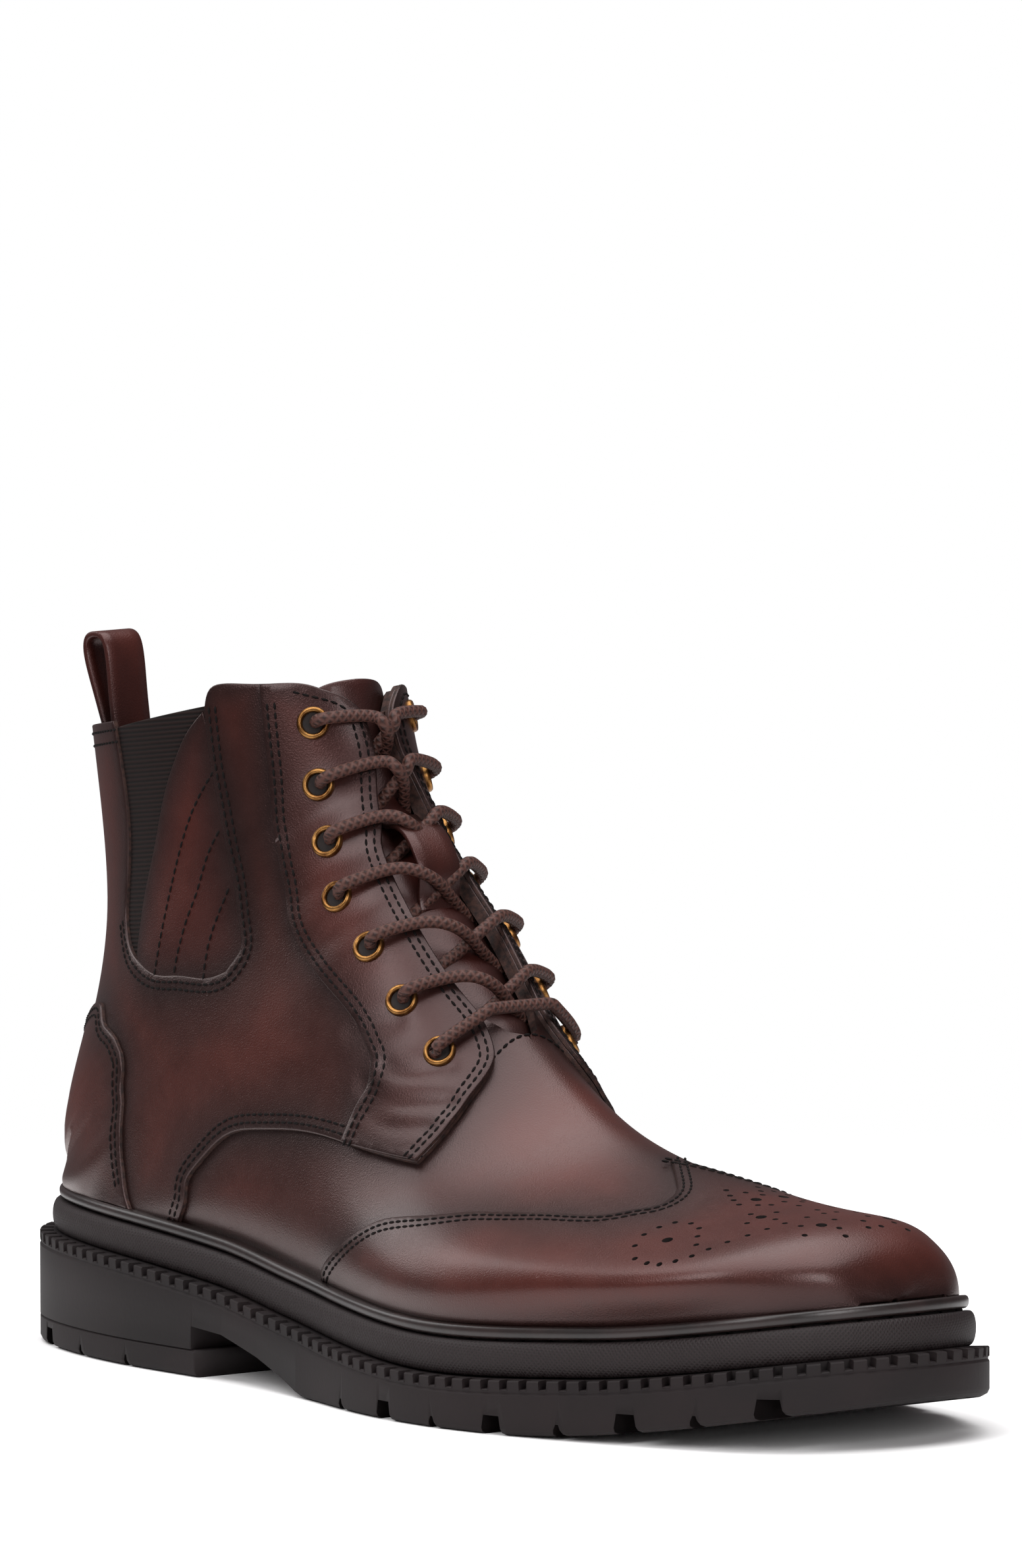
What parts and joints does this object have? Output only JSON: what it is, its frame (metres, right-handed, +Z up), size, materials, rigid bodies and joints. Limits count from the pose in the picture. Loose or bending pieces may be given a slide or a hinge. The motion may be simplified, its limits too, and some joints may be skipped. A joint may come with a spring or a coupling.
{
  "type": "lace-up ankle boot",
  "caption": "Right lace-up ankle boot with wing-tip toe, stretch side gores, eyelets, pull loop and a deep lugged welted rubber sole.",
  "frame": {"origin": "under the middle of the sole's box, on the floor", "axes": "+X to the toe, +Y to the wearer's inner side, +Z up"},
  "size_m": [0.3077, 0.1154, 0.1752],
  "materials": {
    "leather": "burnished dark brown calf, semi-gloss",
    "rubber": "moulded, matte",
    "elastic": "ribbed elastic webbing",
    "cord": "waxed round lace",
    "brass": "antique, rolled",
    "insole": "plain, matte"
  },
  "bodies": {
    "root": {"counter": "leather", "eyelet_lateral_1": "brass", "eyelet_lateral_2": "brass", "eyelet_lateral_3": "brass", "eyelet_lateral_4": "brass", "eyelet_lateral_5": "brass", "eyelet_lateral_6": "brass", "eyelet_lateral_7": "brass", "eyelet_medial_1": "brass", "eyelet_medial_2": "brass", "eyelet_medial_3": "brass", "eyelet_medial_4": "brass", "eyelet_medial_5": "brass", "eyelet_medial_6": "brass", "eyelet_medial_7": "brass", "eyestay_lateral": "leather", "eyestay_medial": "leather", "gore_lateral": "elastic", "gore_medial": "elastic", "gore_panel_lateral": "leather", "gore_panel_medial": "leather", "heel_lift": "rubber", "insole": "insole", "lace_bar": "cord", "lace_crossing_1": "cord", "lace_crossing_2": "cord", "lace_crossing_3": "cord", "lace_crossing_4": "cord", "lace_crossing_5": "cord", "lace_crossing_6": "cord", "lace_keeper": "leather", "midsole": "rubber", "outsole": "rubber", "pull_loop": "leather", "quarter_lateral": "leather", "quarter_medial": "leather", "toe_cap": "leather", "tongue": "leather", "upper": "leather", "welt": "leather"}
  },
  "joints": []
}
